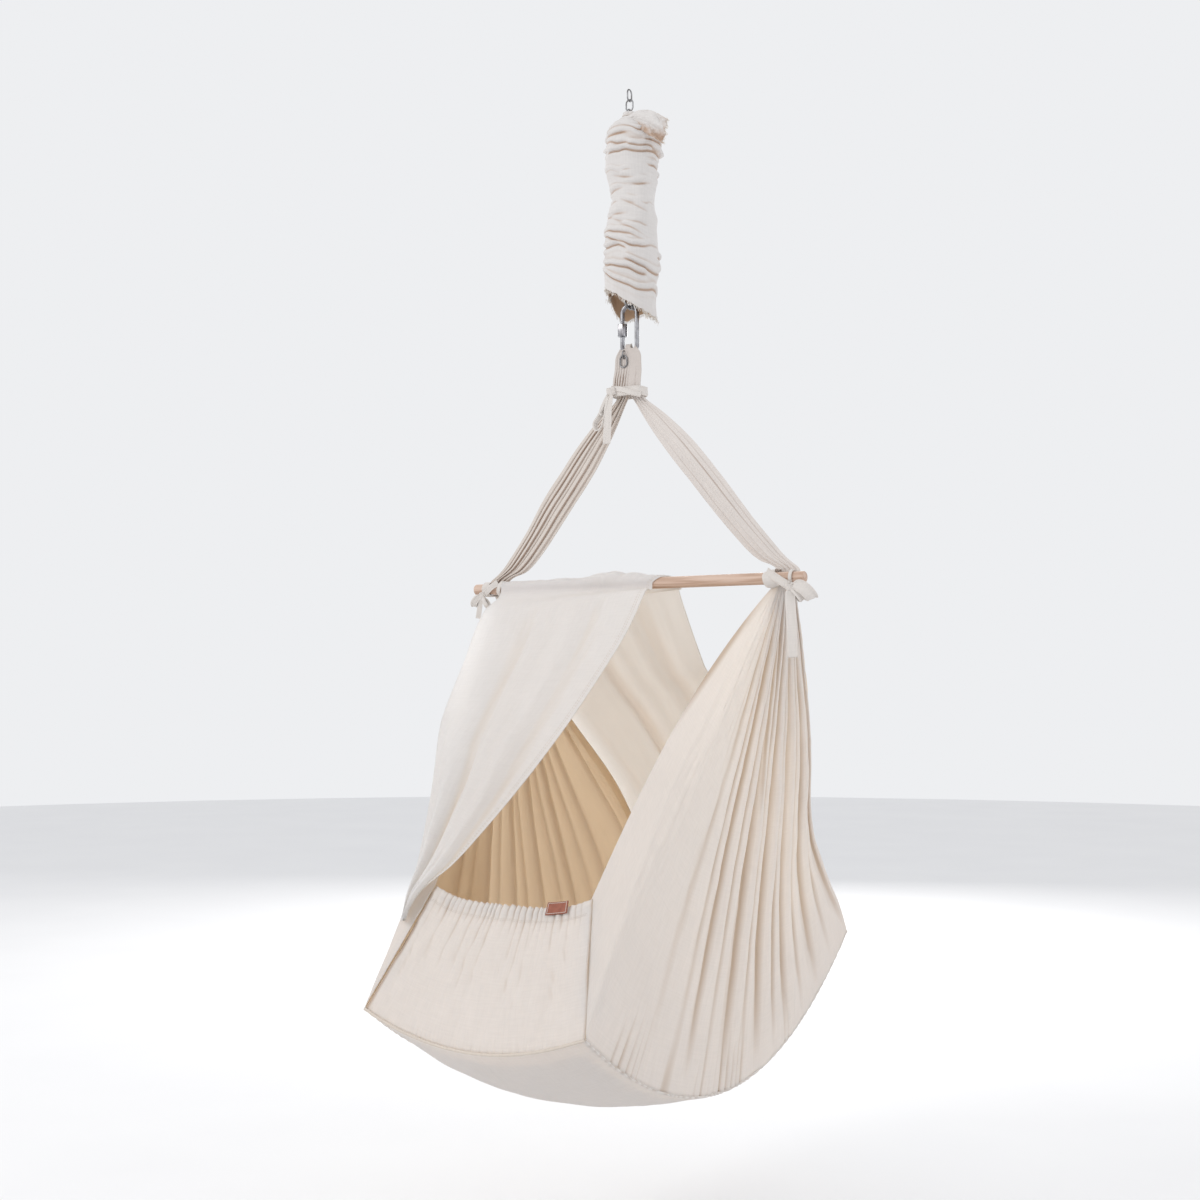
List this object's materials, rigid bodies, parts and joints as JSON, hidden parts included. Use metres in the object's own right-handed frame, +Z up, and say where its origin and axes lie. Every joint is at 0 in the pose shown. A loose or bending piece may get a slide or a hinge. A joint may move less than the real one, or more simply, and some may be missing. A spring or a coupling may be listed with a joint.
{
  "type": "hanging baby cradle",
  "caption": "Hanging baby cradle: a pleated cotton sling with a wooden spreader bar, snapped foot flap and muslin veil, hung by quick links from a coil spring in a cloth sleeve.",
  "frame": {"origin": "where a ceiling hook bears on the top chain link, inside its upper end", "axes": "+X along the spreader bar towards the end without the veil, -Y towards the foot flap, +Z up"},
  "size_m": [0.59, 0.8109, 1.5289],
  "materials": {
    "chain_steel": "satin",
    "link_steel": "polished",
    "spring_steel": "satin",
    "sleeve_cotton": "matte",
    "sling_cotton": "matte",
    "tie_cotton": "matte",
    "bar_wood": "satin",
    "veil_muslin": "matte",
    "mattress_cotton": "matte",
    "label_leather": "matte",
    "elastic_white": "matte",
    "piping_tan": "matte",
    "snap_tape": "matte"
  },
  "bodies": {
    "hang_link": {"chain_link_1": "chain_steel"},
    "swing_link": {"chain_link_2": "chain_steel"},
    "swivel_link": {"chain_link_3": "chain_steel"},
    "spring_hanger": {"upper_quick_link": "link_steel", "spring_sleeve": "sleeve_cotton", "coil_spring": "spring_steel", "safety_chain": "chain_steel"},
    "upper_nut": {"upper_link_nut": "link_steel"},
    "lower_link": {"lower_quick_link": "link_steel"},
    "lower_nut": {"lower_link_nut": "link_steel"},
    "cradle": {"sling_loop": "sling_cotton", "chain_tail_1": "chain_steel", "chain_tail_2": "chain_steel", "apex_tie": "tie_cotton", "strap_left": "sling_cotton", "strap_right": "sling_cotton", "spreader_bar": "bar_wood", "bar_tie_left": "tie_cotton", "bar_tie_right": "tie_cotton", "side_panel_left": "sling_cotton", "side_panel_right": "sling_cotton", "panel_snap_tape_left": "snap_tape", "panel_snap_tape_right": "snap_tape", "head_panel": "sling_cotton", "base_cloth": "sling_cotton", "mattress": "mattress_cotton", "veil": "veil_muslin"},
    "flap": {"foot_flap": "sling_cotton", "flap_hem": "sling_cotton", "flap_elastic": "elastic_white", "flap_piping": "piping_tan", "flap_snap_tape_left": "snap_tape", "flap_snap_tape_right": "snap_tape", "leather_label": "label_leather"}
  },
  "joints": [
    {"name": "swing_side", "type": "hinge", "parent": "hang_link", "child": "swing_link", "pos_m": [0, 0, -0.0172], "axis": [0, 1, 0], "range_deg": [-20, 20]},
    {"name": "swing_fore", "type": "hinge", "parent": "swing_link", "child": "swivel_link", "pos_m": [0, 0, -0.0329], "axis": [1, 0, 0], "range_deg": [-20, 20]},
    {"name": "turn", "type": "hinge", "parent": "swivel_link", "child": "spring_hanger", "pos_m": [0, 0, -0.0441], "axis": [0, 0, 1], "range_deg": [-25, 25]},
    {"name": "upper_nut_travel", "type": "slide", "parent": "spring_hanger", "child": "upper_nut", "axis": [0, 0, 1], "range_m": [0, 0.0105]},
    {"name": "bounce", "type": "slide", "parent": "spring_hanger", "child": "lower_link", "axis": [0, 0, 1], "range_m": [-0.08, 0.015], "stiffness_N_per_m": 1487, "springref_m": 0.02183, "deforming": ["coil_spring", "safety_chain"]},
    {"name": "lower_nut_travel", "type": "slide", "parent": "lower_link", "child": "lower_nut", "axis": [0, 0, 1], "range_m": [0, 0.014]},
    {"name": "rock", "type": "hinge", "parent": "lower_link", "child": "cradle", "pos_m": [0, 0, -0.4155], "axis": [1, 0, 0], "range_deg": [-7, 7]},
    {"name": "flap_fold", "type": "hinge", "parent": "cradle", "child": "flap", "pos_m": [0, -0.4025, -1.4015], "axis": [1, 0, 0], "range_deg": [0, 80]}
  ]
}
